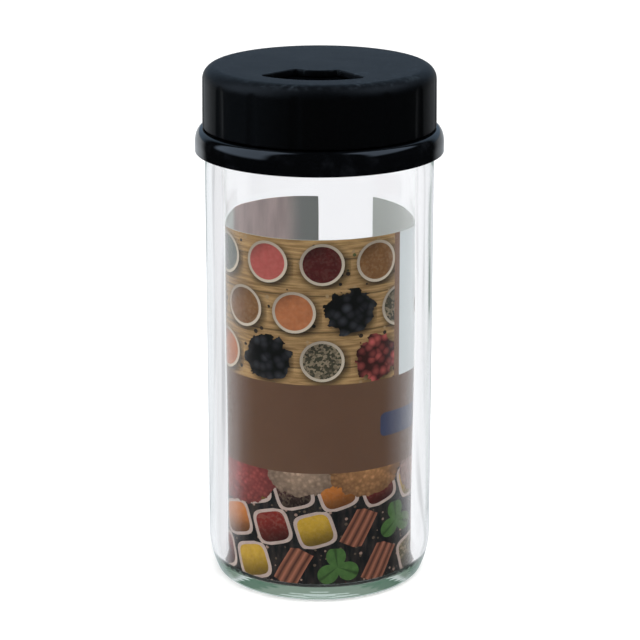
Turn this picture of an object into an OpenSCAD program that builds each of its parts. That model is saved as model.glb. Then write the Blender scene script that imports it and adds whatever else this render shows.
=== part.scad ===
// Glass spice jar with a screw-on sifter collar and a turning dial cap.
// The jar stands on z = 0 with its axis on Z. The front faces -Y.

/* [Glass body] */
// Outside diameter of the body
body_d = 45.2; // [42:0.2:60]
// Height from the table to the lip
glass_h = 100.3; // [85:0.1:140]
// Wall at the top of the cavity
wall_top = 3.25; // [2.6:0.05:4.2]
// Wall just above the floor
wall_foot = 3.75; // [2.8:0.05:5]
// Floor thickness at its corner
floor_t = 2.75; // [2:0.05:5]
// Rise of the floor towards its middle
floor_rise = 1.1; // [0.4:0.1:2]
// Corner radius between floor and wall
floor_fillet = 1.5; // [0.8:0.1:3]
// Depth of the push-up under the base
punt_h = 1.2; // [0.4:0.1:2]
// Width of the flat ring that the jar stands on
bearing_w = 3.2; // [1.5:0.1:5]
// Height at which the side begins to curve in
heel_h = 8; // [5:0.5:14]
// Radius of that lower curve
heel_r = 18; // [14:0.5:30]
// Radius of the edge that meets the table
foot_r = 1.5; // [0.8:0.1:2.5]
// Height over which the side leans in below the shoulder
crown_h = 4; // [1:0.5:8]
// Radius of that upper curve
crown_r = 45; // [30:1:90]

/* [Glass neck] */
// Outside diameter of the neck, between its threads
neck_d = 36.8; // [33:0.1:38]
// Bore of the neck
neck_bore_d = 31.8; // [27:0.1:33]
// Height of the neck from shoulder to lip
neck_h = 9.9; // [9:0.1:20]
// Radius of the lip's two edges
lip_edge_r = 0.8; // [0.4:0.1:1.1]
// Depth that the screw thread stands proud of the neck
thread_depth = 0.95; // [0.6:0.05:1.4]
// Radius of the plain ring under the thread
ring_r = 0.5; // [0.3:0.05:0.9]
// Height of that ring above the shoulder
ring_up = 1.6; // [1.5:0.1:4]
// Radius between shoulder and neck
neck_fillet = 0.6; // [0.3:0.1:1]
// Flat left on top of the shoulder
shoulder_flat = 0.7; // [0.1:0.1:1.5]
// Radius where the bore opens into the cavity
bore_edge_r = 2; // [1:0.1:2.5]
// Height of that opening above the shoulder
bore_edge_up = 0.6; // [0:0.1:1.5]
// Radius under the shoulder, inside the cavity
cavity_shoulder_r = 2.2; // [1.5:0.1:4]

/* [Insert sheet] */
// Height of the printed sheet
sheet_h = 70.85; // [40:0.05:76]
// Thickness of the sheet
sheet_t = 0.25; // [0.15:0.05:0.4]
// Gap left between the sheet's ends, at the back
sheet_gap_deg = 39; // [10:1:80]
// Angle of the gap's first end, from the back centre towards the right
sheet_gap_from = -1; // [-20:1:40]
// Play between sheet and glass
sheet_play = 0.3; // [0.2:0.05:0.5]

/* [Seal ring] */
// Thickness of the soft ring
seal_t = 1.16; // [0.8:0.02:2]
// Step from the neck's bore out to the ring's bore
seal_inset = 0.4; // [0.2:0.1:1]
// Play between the ring and the collar's tube
seal_play = 0.3; // [0.2:0.05:0.5]

/* [Sifter collar] */
// Thickness of the sifter plate
plate_t = 1.4; // [1:0.1:2.2]
// Wall of the tube that screws onto the neck
tube_wall = 1.05; // [0.9:0.05:1.6]
// Radius on the tube's top edge
tube_edge_r = 0.6; // [0.2:0.1:0.8]
// Thickness of the shelf under the dial
shelf_t = 1.2; // [0.9:0.1:1.8]
// Space between the glass shoulder and the shelf
shelf_gap = 0.5; // [0.4:0.1:3]
// Ledge of the shelf that shows around the dial
shelf_ledge = 0.1; // [0:0.05:0.5]
// Height of the rounded shoulder below the shelf
brow_h = 2.8; // [2:0.1:4]
// Width of that rounded shoulder
brow_w = 1; // [0.6:0.05:1.6]
// Height of the hollow sweep above the rim
sweep_h = 1; // [0.5:0.1:2]
// Height of the rim's upright edge
rim_h = 0.75; // [0.4:0.05:1.5]
// Reach of the rim beyond the dial
rim_reach = 1.5; // [1.3:0.05:2.5]
// Wall of the skirt
skirt_wall = 1.4; // [1:0.1:1.8]
// Radius inside the skirt's top corner
skirt_corner = 1.2; // [0.6:0.1:1.6]
// How much the skirt's inside draws in from the rim to that corner
skirt_draw = 0.4; // [0.1:0.1:0.5]

/* [Sifter openings] */
// Inner radius of the sifting field
field_in = 7.6; // [6:0.1:9]
// Margin from the sifting field to the neck's bore
field_margin = 0.9; // [0.5:0.1:2]
// Angle that each sifting field spans
field_deg = 68; // [50:1:74]
// Corner radius of the pouring opening
pour_corner = 1; // [0.5:0.1:1.5]
// Diameter of the coarse holes
coarse_d = 3.4; // [2:0.1:3.6]
// Diameter of the fine holes
fine_d = 1.6; // [1:0.1:2]

/* [Dial cap] */
// Thickness of the dial's top
dial_t = 1.3; // [1:0.05:2]
// Wall of the dial's skirt
dial_wall = 1.4; // [1.2:0.05:2]
// Radius of the dial's top edge
dial_edge_r = 2.7; // [1.5:0.1:3]
// Draft of the skirt over its height
dial_draft = 0.1; // [0:0.05:0.3]
// Radius inside the dial's top corner
dial_corner = 0.8; // [0.4:0.1:1]
// Bevel around the skirt's lower edge
dial_bevel = 0.2; // [0.1:0.05:0.4]
// Extra angle of the dial's opening beyond a sifting field
opening_extra_deg = 10; // [2:1:14]
// Extra radial reach of the dial's opening beyond a sifting field
opening_extra = 1; // [0.3:0.1:1.3]
// Corner radius of the dial's opening
opening_corner = 0.9; // [0.5:0.1:1.5]
// Direction of the dial's opening from the front, towards the right
opening_aim = -6; // [-45:0.5:45]
// Number of finger grooves
grooves = 16; // [8:1:32]
// Width of a finger groove
groove_w = 3.4; // [1.5:0.1:4]
// Depth of a finger groove
groove_depth = 0.35; // [0.1:0.05:0.6]

/* [Fits] */
// Gap between the two threads, and from thread tip to root
thread_gap = 0.4; // [0.3:0.05:0.6]
// Gap between the dial's underside and the sifter plate
deck_gap = 0.2; // [0.1:0.05:0.5]
// Gap between the dial's skirt and the shelf
hem_gap = 0.3; // [0.2:0.05:0.6]
// Gap between skirt and snap rib, and between snap bead and tube
dial_play = 0.3; // [0.2:0.05:0.5]
// Height that the snap rib stands out of the tube
rib_out = 0.5; // [0.4:0.05:0.7]
// Length of the snap rib along the tube
rib_len = 1.2; // [0.8:0.1:2]
// Length of the dial's snap bead
bead_len = 1; // [0.6:0.1:1.6]
// Height of the snap bead above the dial's lower edge
bead_up = 0.6; // [0.5:0.1:1]
// Gap below the snap rib
snap_gap = 0.3; // [0.2:0.05:0.5]
// Gap on each face of the seal ring
seat_gap = 0.02; // [0.01:0.01:0.05]

/* [Hidden] */
$fn = 96;
arc_steps = 10;
cut = 1;              // overshoot of a cutting solid

// glass
body_r = body_d / 2;
neck_r = neck_d / 2;
bore_r = neck_bore_d / 2;
shoulder_z = glass_h - neck_h;
crown_deg = asin(crown_h / crown_r);
crown_in = crown_r * (1 - cos(crown_deg));
shoulder_r = (body_r - crown_in - neck_r - neck_fillet - shoulder_flat) / cos(crown_deg);
shoulder_c = [neck_r + neck_fillet + shoulder_flat, shoulder_z - shoulder_r];
crown_c = [body_r - crown_r, shoulder_c.y + shoulder_r * sin(crown_deg) - crown_h];
cavity_top_r = body_r - wall_top;
cavity_foot_r = body_r - wall_foot;
heel_c = [body_r - heel_r, heel_h];
heel_deg = asin((heel_h - foot_r) / (heel_r - foot_r));
foot_c = [heel_c.x + (heel_r - foot_r) * cos(heel_deg), foot_r];
bearing_r = foot_c.x - bearing_w;
// the bore opens into the cavity along a 45 degree cone between two radii
bore_edge_z = shoulder_z + bore_edge_up;
cone_run = cavity_top_r - bore_r - (1 - cos(45)) * (cavity_shoulder_r + bore_edge_r);
cavity_top_z = bore_edge_z - cone_run - sin(45) * (bore_edge_r + cavity_shoulder_r);

// sheet: its lower edge rests on the floor's corner radius
sheet_r = cavity_foot_r - sheet_play;
sheet_on_fillet = sheet_r - (cavity_foot_r - floor_fillet);
sheet_z = floor_t + floor_fillet - sqrt(pow(floor_fillet, 2) - pow(sheet_on_fillet, 2)) + seat_gap;
sheet_lean = (cavity_top_r - cavity_foot_r) * sheet_h / (cavity_top_z - floor_t - floor_fillet);

// closure, from the lip upwards
plate_z = glass_h + seal_t + 2 * seat_gap;
deck_z = plate_z + plate_t;
dial_under_z = deck_z + deck_gap;
dial_top_z = dial_under_z + dial_t;
shelf_z = shoulder_z + shelf_gap + shelf_t;
hem_z = shelf_z + hem_gap;

// closure, from the neck outwards
tube_in_r = neck_r + thread_depth + thread_gap;
tube_r = tube_in_r + tube_wall;
rib_r = tube_r + rib_out;
dial_in_r = rib_r + dial_play;
bead_r = tube_r + dial_play;
dial_r = dial_in_r + dial_wall;
seal_in_r = bore_r + seal_inset;
seal_r = tube_in_r - seal_play;
ledge_r = dial_r + shelf_ledge;
rim_r = max(dial_r + rim_reach, body_r + skirt_wall + thread_gap);
brow_z = shelf_z - brow_h;
rim_z = brow_z - sweep_h - rim_h;
bead_z = hem_z + bead_up;
rib_z = bead_z + bead_len + snap_gap;
field_out = bore_r - field_margin;
coarse_rows = [2, 3];
fine_rows = [3, 4, 5];
groove_r = (pow(groove_w / 2, 2) + pow(groove_depth, 2)) / (2 * groove_depth);

// points of an arc, or of an oval where rx and ry differ
function oval(c, rx, ry, a0, a1, n = arc_steps) =
    [for (i = [0:n]) let (a = a0 + (a1 - a0) * i / n) c + [rx * cos(a), ry * sin(a)]];
function arc(c, r, a0, a1, n = arc_steps) = oval(c, r, r, a0, a1, n);
function polar(r, a) = [r * cos(a), r * sin(a)];

// shallow dome from the axis out to radius r, with its crown at height top
function dome(r, rise, top) =
    let (big = (r * r + rise * rise) / (2 * rise)) arc([0, top - big], big, 90, 90 - asin(r / big));
function reversed(p) = [for (i = [len(p) - 1:-1:0]) p[i]];

// fan between two radii, centred on the X axis, with rounded corners
function half_fan(r_in, r_out, half, c) =
    let (a_out = half - asin(c / (r_out - c)), a_in = half - asin(c / (r_in + c)))
    concat(arc([0, 0], r_out, 0, a_out), arc(polar(r_out - c, a_out), c, a_out, half + 90, 5),
        arc(polar(r_in + c, a_in), c, half + 90, a_in + 180, 5), arc([0, 0], r_in, a_in, 0));
module fan(r_in, r_out, deg, c) {
    side = half_fan(r_in, r_out, deg / 2, c);
    polygon(side);
    mirror([0, 1]) polygon(side);
}

// rows of holes spread over one sifting field
module hole_rows(rows, d) {
    for (k = [0:len(rows) - 1]) {
        r = field_in + d / 2 + (field_out - field_in - d) * k / (len(rows) - 1);
        reach = field_deg / 2 - asin(d / 2 / r);
        for (i = [0:rows[k] - 1])
            rotate([0, 0, reach * (2 * i / (rows[k] - 1) - 1)])
                translate([r, 0, plate_z - cut]) cylinder(d = d, h = plate_t + 2 * cut, $fn = 32);
    }
}

module glass_jar() {
    color([0.87, 0.93, 0.9, 0.45]) rotate_extrude() polygon(concat(
        dome(bearing_r, punt_h, punt_h),
        arc(foot_c, foot_r, -90, -heel_deg),
        arc(heel_c, heel_r, -heel_deg, 0),
        arc(crown_c, crown_r, 0, crown_deg, 5),
        arc(shoulder_c, shoulder_r, crown_deg, 90),
        arc([neck_r + neck_fillet, shoulder_z + neck_fillet], neck_fillet, 270, 180, 5),
        arc([neck_r, shoulder_z + ring_up], ring_r, -90, 90),
        arc([neck_r - lip_edge_r, glass_h - lip_edge_r], lip_edge_r, 0, 90, 5),
        arc([bore_r + lip_edge_r, glass_h - lip_edge_r], lip_edge_r, 90, 180, 5),
        arc([bore_r + bore_edge_r, bore_edge_z], bore_edge_r, 180, 225, 5),
        arc([cavity_top_r - cavity_shoulder_r, cavity_top_z], cavity_shoulder_r, 45, 0, 5),
        arc([cavity_foot_r - floor_fillet, floor_t + floor_fillet], floor_fillet, 0, -90, 5),
        reversed(dome(cavity_foot_r - floor_fillet, floor_rise, floor_t + floor_rise))
    ));
}

module insert_sheet() {
    color([0.52, 0.36, 0.27])
        rotate([0, 0, 90 - sheet_gap_from])
            rotate_extrude(angle = 360 - sheet_gap_deg)
                polygon([[sheet_r - sheet_t, sheet_z], [sheet_r, sheet_z],
                    [sheet_r + sheet_lean, sheet_z + sheet_h], [sheet_r + sheet_lean - sheet_t, sheet_z + sheet_h]]);
}

module seal_ring() {
    color([0.93, 0.93, 0.9])
        translate([0, 0, glass_h + seat_gap])
            difference() {
                cylinder(r = seal_r, h = seal_t);
                translate([0, 0, -cut]) cylinder(r = seal_in_r, h = seal_t + 2 * cut);
            }
}

// sifter plate, threaded tube with its snap rib, and the flared skirt in one moulding
module collar_blank() {
    rotate_extrude() polygon(concat(
        [[0, plate_z], [0, deck_z]],
        arc([tube_r - tube_edge_r, deck_z - tube_edge_r], tube_edge_r, 90, 0, 5),
        [[tube_r, rib_z + rib_len + rib_out], [rib_r, rib_z + rib_len], [rib_r, rib_z], [tube_r, rib_z]],
        [[tube_r, shelf_z]],
        oval([ledge_r, brow_z], brow_w, brow_h, 90, 0),
        oval([rim_r, brow_z], rim_r - ledge_r - brow_w, sweep_h, 180, 270, 5),
        [[rim_r, rim_z], [rim_r - skirt_wall, rim_z]],
        oval([rim_r - skirt_wall - skirt_draw - skirt_corner, brow_z], skirt_corner, shelf_z - shelf_t - brow_z,
            0, 90),
        [[tube_in_r, shelf_z - shelf_t], [tube_in_r, plate_z]]
    ));
}

// four quarters of the plate: closed at the dial's opening, then coarse, pouring and fine
module sifter_collar() {
    color([0.03, 0.03, 0.035])
        difference() {
            collar_blank();
            rotate([0, 0, opening_aim]) {
                hole_rows(coarse_rows, coarse_d);
                rotate([0, 0, 90]) translate([0, 0, plate_z - cut])
                    linear_extrude(plate_t + 2 * cut) fan(field_in, field_out, field_deg, pour_corner);
                rotate([0, 0, 180]) hole_rows(fine_rows, fine_d);
            }
        }
}

module dial_blank() {
    top_r = dial_r - dial_draft;
    rotate_extrude() polygon(concat(
        [[0, dial_top_z], [0, dial_under_z]],
        arc([dial_in_r - dial_corner, dial_under_z - dial_corner], dial_corner, 90, 0, 5),
        [[dial_in_r, bead_z + bead_len + bead_up], [bead_r, bead_z + bead_len], [bead_r, bead_z]],
        [[dial_in_r, hem_z + dial_bevel], [dial_in_r, hem_z], [dial_r - dial_bevel, hem_z]],
        [[dial_r, hem_z + dial_bevel]],
        arc([top_r - dial_edge_r, dial_top_z - dial_edge_r], dial_edge_r, 0, 90)
    ));
}

module dial_cap() {
    color([0.1, 0.11, 0.12])
        difference() {
            dial_blank();
            for (i = [0:grooves - 1])
                rotate([0, 0, (i + 0.5) * 360 / grooves])
                    translate([dial_r - groove_depth + groove_r, 0, hem_z - cut])
                        cylinder(r = groove_r, h = dial_top_z - hem_z + 2 * cut);
            rotate([0, 0, opening_aim - 90]) translate([0, 0, dial_under_z - cut])
                linear_extrude(dial_t + 2 * cut)
                    fan(field_in - opening_extra, field_out + opening_extra, field_deg + opening_extra_deg,
                        opening_corner);
        }
}

glass_jar();
insert_sheet();
seal_ring();
sifter_collar();
dial_cap();
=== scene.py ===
import bpy
import bmesh
import math
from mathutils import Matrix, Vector, noise


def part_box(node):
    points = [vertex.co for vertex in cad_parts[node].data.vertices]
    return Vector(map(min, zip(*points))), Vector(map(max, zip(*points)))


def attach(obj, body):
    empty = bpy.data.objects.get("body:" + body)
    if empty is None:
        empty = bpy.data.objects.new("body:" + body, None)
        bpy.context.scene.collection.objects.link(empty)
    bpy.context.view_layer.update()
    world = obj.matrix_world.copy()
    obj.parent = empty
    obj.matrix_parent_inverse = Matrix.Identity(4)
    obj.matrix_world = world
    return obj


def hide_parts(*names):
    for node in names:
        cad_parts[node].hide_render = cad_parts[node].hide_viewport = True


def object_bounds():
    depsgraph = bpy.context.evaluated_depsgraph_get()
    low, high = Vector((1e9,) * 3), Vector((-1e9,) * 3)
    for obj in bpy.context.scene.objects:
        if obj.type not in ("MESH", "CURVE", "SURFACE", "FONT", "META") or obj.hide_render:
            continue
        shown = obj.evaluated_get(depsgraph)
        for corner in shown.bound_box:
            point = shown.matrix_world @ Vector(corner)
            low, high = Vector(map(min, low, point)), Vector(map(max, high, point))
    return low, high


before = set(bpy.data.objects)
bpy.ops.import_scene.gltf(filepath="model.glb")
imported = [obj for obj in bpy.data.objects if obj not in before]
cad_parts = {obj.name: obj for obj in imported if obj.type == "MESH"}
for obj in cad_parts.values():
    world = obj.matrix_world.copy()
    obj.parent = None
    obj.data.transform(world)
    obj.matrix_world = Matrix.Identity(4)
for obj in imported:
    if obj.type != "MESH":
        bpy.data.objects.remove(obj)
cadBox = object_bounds()

mm = 0.001
glassLow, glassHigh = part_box("glass_jar")
sheetLow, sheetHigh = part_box("insert_sheet")
sealLow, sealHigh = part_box("seal_ring")
collarLow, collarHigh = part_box("sifter_collar")
dialLow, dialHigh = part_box("dial_cap")


class Wire:
    # one output of a node; sums, products and comparisons of wires add Math nodes

    def __init__(self, board, socket):
        self.board = board
        self.socket = socket

    def math(self, operation, *others):
        return self.board.add("ShaderNodeMath", {"operation": operation}, dict(enumerate((self, *others))))

    def __add__(self, other):
        return self.math("ADD", other)

    def __sub__(self, other):
        return self.math("SUBTRACT", other)

    def __rsub__(self, other):
        return self.board.add("ShaderNodeMath", {"operation": "SUBTRACT"}, {0: other, 1: self})

    def __mul__(self, other):
        return self.math("MULTIPLY", other)

    def __truediv__(self, other):
        return self.math("DIVIDE", other)

    def __rtruediv__(self, other):
        return self.board.add("ShaderNodeMath", {"operation": "DIVIDE"}, {0: other, 1: self})

    def __pow__(self, other):
        return self.math("POWER", other)

    def __mod__(self, other):
        return self.math("FLOORED_MODULO", other)

    def __neg__(self):
        return self.math("MULTIPLY", -1.0)

    def __abs__(self):
        return self.math("ABSOLUTE")

    def __lt__(self, other):
        return self.math("LESS_THAN", other)

    def __gt__(self, other):
        return self.math("GREATER_THAN", other)

    __radd__ = __add__
    __rmul__ = __mul__

    def floor(self):
        return self.math("FLOOR")

    def least(self, other):
        return self.math("MINIMUM", other)

    def most(self, other):
        return self.math("MAXIMUM", other)

    def sine(self):
        return self.math("SINE")

    def cosine(self):
        return self.math("COSINE")

    def root(self):
        return self.math("SQRT")

    def fade(self, low, high):  # 0 at low, 1 at high, eased between
        return self.board.add(
            "ShaderNodeMapRange", {"interpolation_type": "SMOOTHSTEP"},
            {"Value": self, "From Min": low, "From Max": high},
        )

    def within(self, low, high):  # 1 between low and high
        return (self > low) * (self < high)

    def also(self, name):  # another output of the same node
        return Wire(self.board, pickSocket(self.socket.node.outputs, name))


def pickSocket(sockets, key):
    if isinstance(key, int):
        return sockets[key]
    return next(socket for socket in sockets if key in (socket.identifier, socket.name))


class Board:
    # adds nodes to one material, world or shape

    def __init__(self, tree):
        self.tree = tree
        tree.nodes.clear()

    def add(self, kind, settings=None, values=None, out=0):
        node = self.tree.nodes.new(kind)
        for name, setting in (settings or {}).items():
            if name == "stops":
                fillRamp(node.color_ramp, setting)
            else:
                setattr(node, name, setting)
        for key, value in (values or {}).items():
            socket = pickSocket(node.inputs, key)
            if isinstance(value, Wire):
                self.tree.links.new(value.socket, socket)
            elif socket.type == "RGBA":
                socket.default_value = (*value[:3], 1.0)
            else:
                socket.default_value = value
        return Wire(self, pickSocket(node.outputs, out)) if node.outputs else None

    def split(self, vector):
        x = self.add("ShaderNodeSeparateXYZ", None, {0: vector})
        return x, x.also("Y"), x.also("Z")

    def join(self, x, y, z=0.0):
        return self.add("ShaderNodeCombineXYZ", None, {0: x, 1: y, 2: z})

    def mix(self, share, first, second, blend="MIX"):
        return self.add(
            "ShaderNodeMix", {"data_type": "RGBA", "blend_type": blend},
            {"Factor_Float": share, "A_Color": first, "B_Color": second}, "Result_Color",
        )

    def shade(self, colour, amount):
        return self.add("ShaderNodeVectorMath", {"operation": "SCALE"}, {0: colour, "Scale": amount})

    def ramp(self, share, stops, easing="LINEAR"):
        return self.add("ShaderNodeValToRGB", {"stops": (easing, stops)}, {0: share})

    def noise(self, place, scale, detail=2.0, roughness=0.5):
        return self.add(
            "ShaderNodeTexNoise", None,
            {"Vector": place, "Scale": scale, "Detail": detail, "Roughness": roughness},
        )

    def angle(self, y, x):
        return self.add("ShaderNodeMath", {"operation": "ARCTAN2"}, {0: y, 1: x})


def fillRamp(ramp, setting):
    easing, stops = setting
    ramp.interpolation = easing
    while len(ramp.elements) < len(stops):
        ramp.elements.new(1.0)
    for element, (place, colour) in zip(ramp.elements, stops):
        element.position = place
        element.color = (*colour, 1.0)


def newMaterial(name):
    material = bpy.data.materials.new(name)
    material.use_nodes = True
    return material, Board(material.node_tree)


def finishMaterial(board, values):
    surface = board.add("ShaderNodeBsdfPrincipled", None, values)
    board.add("ShaderNodeOutputMaterial", None, {"Surface": surface})
    return surface


# outlines and rings

def arc(centre, radii, start, end, steps=10):
    across, up = radii if isinstance(radii, tuple) else (radii, radii)
    turns = [math.radians(start + (end - start) * i / steps) for i in range(steps + 1)]
    return [(centre[0] + across * math.cos(a), centre[1] + up * math.sin(a)) for a in turns]


def dome(radius, rise, top):
    big = (radius ** 2 + rise ** 2) / (2 * rise)
    return arc((0, top - big), big, 90, 90 - math.degrees(math.asin(radius / big)))


def supported(outline, near):
    # a point close to each end of a long straight stretch keeps its shading straight
    points = [outline[0]]
    for a, b in zip(outline, outline[1:]):
        a, b = Vector(a), Vector(b)
        if (b - a).length > 4 * near:
            step = (b - a).normalized() * near
            points += [tuple(a + step), tuple(b - step)]
        points.append(tuple(b))
    return points


def stretch(a, b, pieces):
    # points between a and b, without the ends
    return [tuple(Vector(a).lerp(Vector(b), i / pieces)) for i in range(1, pieces)]


def grown(loop, amount):
    # a closed flat loop moved outwards, or inwards where amount is negative
    points = [Vector(p) for p in loop]
    moved = []
    for before, here, after in zip(points[-1:] + points[:-1], points, points[1:] + points[:1]):
        along = ((here - before).normalized() + (after - here).normalized()).normalized()
        moved.append(here + Vector((along.y, -along.x)) * amount)
    return moved


class Form:
    # a closed mesh made of rings round the Z axis, loops and flat fills

    def __init__(self, columns=96):
        self.mesh = bmesh.new()
        self.columns = columns

    def ring(self, radius, height):
        if radius < 1e-6:
            return [self.mesh.verts.new((0, 0, height))]
        turns = [2 * math.pi * i / self.columns for i in range(self.columns)]
        return [self.mesh.verts.new((radius * math.cos(a), radius * math.sin(a), height)) for a in turns]

    def loop(self, points, height):
        return [self.mesh.verts.new((p[0], p[1], height)) for p in points]

    def band(self, low, high):
        count = max(len(low), len(high))
        for i in range(count):
            j = (i + 1) % count
            corners = [low[i % len(low)], low[j % len(low)], high[j % len(high)], high[i % len(high)]]
            self.mesh.faces.new(list(dict.fromkeys(corners)))

    def bands(self, rings):
        for low, high in zip(rings, rings[1:]):
            self.band(low, high)

    def revolve(self, outline):
        rings = [self.ring(r, z) for r, z in outline]
        self.bands(rings)
        return rings

    def fill(self, loops):
        edges = []
        for loop in loops:
            for a, b in zip(loop, loop[1:] + loop[:1]):
                edges.append(self.mesh.edges.get((a, b)))
        bmesh.ops.triangle_fill(self.mesh, use_beauty=True, edges=edges, normal=(0, 0, 1))

    def perforate(self, rimTop, rimBottom, holes, top, bottom, edge):
        # a flat plate between two rims, with rounded edges round each hole
        topLoops = [rimTop]
        bottomLoops = [rimBottom]
        corner = [(edge * (1 - math.sin(a)), edge * (1 - math.cos(a))) for a in (0, 0.52, 1.05, math.pi / 2)]
        steps = [(edge * 2, top)] + [(out, top - down) for out, down in corner]
        steps += [(out, bottom + up) for out, up in reversed(corner)] + [(edge * 2, bottom)]
        for hole in holes:
            loops = [self.loop(grown(hole, out), z) for out, z in steps]
            self.bands(loops)
            topLoops.append(loops[0])
            bottomLoops.append(loops[-1])
        self.fill(topLoops)
        self.fill(bottomLoops)

    def move(self, change):
        for vertex in self.mesh.verts:
            vertex.co = change(vertex.co)

    def piece(self, name, *materials):
        bmesh.ops.remove_doubles(self.mesh, verts=self.mesh.verts, dist=1e-7)
        bmesh.ops.recalc_face_normals(self.mesh, faces=self.mesh.faces)
        mesh = bpy.data.meshes.new(name)
        self.mesh.to_mesh(mesh)
        self.mesh.free()
        for material in materials:
            mesh.materials.append(material)
        obj = bpy.data.objects.new(name, mesh)
        bpy.context.collection.objects.link(obj)
        shadeByAngle(mesh)
        return obj


def shadeByAngle(mesh, degrees=32):
    mesh.shade_smooth()
    mesh.set_sharp_from_angle(angle=math.radians(degrees))


# geometry node trees

def newShape(name, inputs):
    # a tree with a mesh going in and out and one named input for each size
    tree = bpy.data.node_groups.new(name, "GeometryNodeTree")
    tree.interface.new_socket("Geometry", in_out="INPUT", socket_type="NodeSocketGeometry")
    for label, kind in inputs:
        tree.interface.new_socket(label, in_out="INPUT", socket_type="NodeSocket" + kind)
    tree.interface.new_socket("Geometry", in_out="OUTPUT", socket_type="NodeSocketGeometry")
    board = Board(tree)
    source = board.add("NodeGroupInput")
    sizes = {label: source.also(label) for label, kind in inputs}
    return tree, board, source, sizes


def closeShape(board, geometry, material=None):
    # instances are made real and the finish is set before the mesh leaves the tree
    real = board.add("GeometryNodeRealizeInstances", None, {"Geometry": geometry})
    if material:
        real = board.add("GeometryNodeSetMaterial", None, {"Geometry": real, "Material": material})
    board.add("NodeGroupOutput", None, {"Geometry": real})


def runShape(obj, tree, values):
    # runs a tree once on a piece and keeps the result as its plain mesh
    modifier = obj.modifiers.new(tree.name, "NODES")
    modifier.node_group = tree
    sockets = {item.name: item.identifier for item in tree.interface.items_tree if item.in_out == "INPUT"}
    for label, value in values.items():
        modifier[sockets[label]] = value
    view = bpy.context.evaluated_depsgraph_get()
    made = bpy.data.meshes.new_from_object(obj.evaluated_get(view), depsgraph=view)
    obj.modifiers.remove(modifier)
    made.name = obj.name
    obj.data = made
    shadeByAngle(made)


def moveRadius(board, geometry, radius, angle, height):
    place = board.join(radius * angle.cosine(), radius * angle.sine(), height)
    return board.add("GeometryNodeSetPosition", None, {"Geometry": geometry, "Position": place})


def polarPlace(board):
    x, y, z = board.split(board.add("GeometryNodeInputPosition"))
    return (x * x + y * y).root(), board.angle(y, x), z


def screwThreadTree(material):
    # raises a right-hand thread on the wall of a tube, outwards or inwards
    tree, board, source, size = newShape("screwThread", [
        ("Wall Radius", "Float"), ("Depth", "Float"), ("Lead", "Float"), ("Turns", "Float"),
        ("Start Height", "Float"), ("Start Turn", "Float"), ("Crest Width", "Float"), ("Flank Width", "Float"),
    ])
    radius, angle, height = polarPlace(board)
    turn = angle / (2 * math.pi) - size["Start Turn"]
    climb = (height - size["Start Height"]) / size["Lead"] - turn
    nearest = (climb + 0.5).floor()
    offCentre = abs(climb - nearest) * size["Lead"]
    along = nearest + turn
    crestHalf = size["Crest Width"] / 2
    ridge = 1.0 - board.add(
        "ShaderNodeMapRange", {"interpolation_type": "SMOOTHSTEP"},
        {"Value": offCentre, "From Min": crestHalf, "From Max": crestHalf + size["Flank Width"]},
    )
    ends = along.fade(0.0, 0.09) * (size["Turns"] - along).fade(0.0, 0.09)
    onWall = abs(radius - size["Wall Radius"]) < 0.02 * mm
    moved = moveRadius(board, source, radius + size["Depth"] * ridge * ends * onWall, angle, height)
    closeShape(board, moved, material)
    return tree


def fingerGroovesTree(material):
    # sinks upright round-bottomed grooves into the side of a cap
    tree, board, source, size = newShape("fingerGrooves", [
        ("Count", "Int"), ("Width", "Float"), ("Depth", "Float"), ("Side Radius", "Float"),
        ("Edge Softness", "Float"),
    ])
    radius, angle, height = polarPlace(board)
    pitch = 2 * math.pi / (size["Count"] * 1.0)
    offCentre = (angle % pitch) - pitch / 2
    cutter = (size["Width"] * size["Width"] / 4 + size["Depth"] * size["Depth"]) / (size["Depth"] * 2)
    reach = size["Side Radius"] - size["Depth"] + cutter
    aside = reach * offCentre.sine()
    bottom = reach * offCentre.cosine() - (cutter * cutter - aside * aside).most(0.0).root()
    inside = abs(aside) < cutter
    limit = bottom * inside + (1.0 - inside)
    cut = board.add("ShaderNodeMath", {"operation": "SMOOTH_MIN"},
                    {0: radius, 1: limit, 2: size["Edge Softness"]})
    side = radius > size["Side Radius"] - size["Depth"] - 1.2 * mm
    moved = moveRadius(board, source, radius + (cut - radius) * side, angle, height)
    closeShape(board, moved, material)
    return tree


def bearingKnurlsTree(material):
    # lifts fine radial ribs into the flat ring that a jar stands on
    tree, board, source, size = newShape("bearingKnurls", [
        ("Count", "Int"), ("Depth", "Float"), ("Inner Radius", "Float"), ("Outer Radius", "Float"),
    ])
    radius, angle, height = polarPlace(board)
    wave = 0.5 - (angle * size["Count"]).cosine() * 0.5
    inner = radius.fade(size["Inner Radius"], size["Inner Radius"] + 0.5 * mm)
    outer = (size["Outer Radius"] - radius).fade(0.0, 0.5 * mm)
    onBase = height < 0.05 * mm
    moved = moveRadius(board, source, radius, angle, height + wave * inner * outer * onBase * size["Depth"])
    closeShape(board, moved, material)
    return tree


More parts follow.
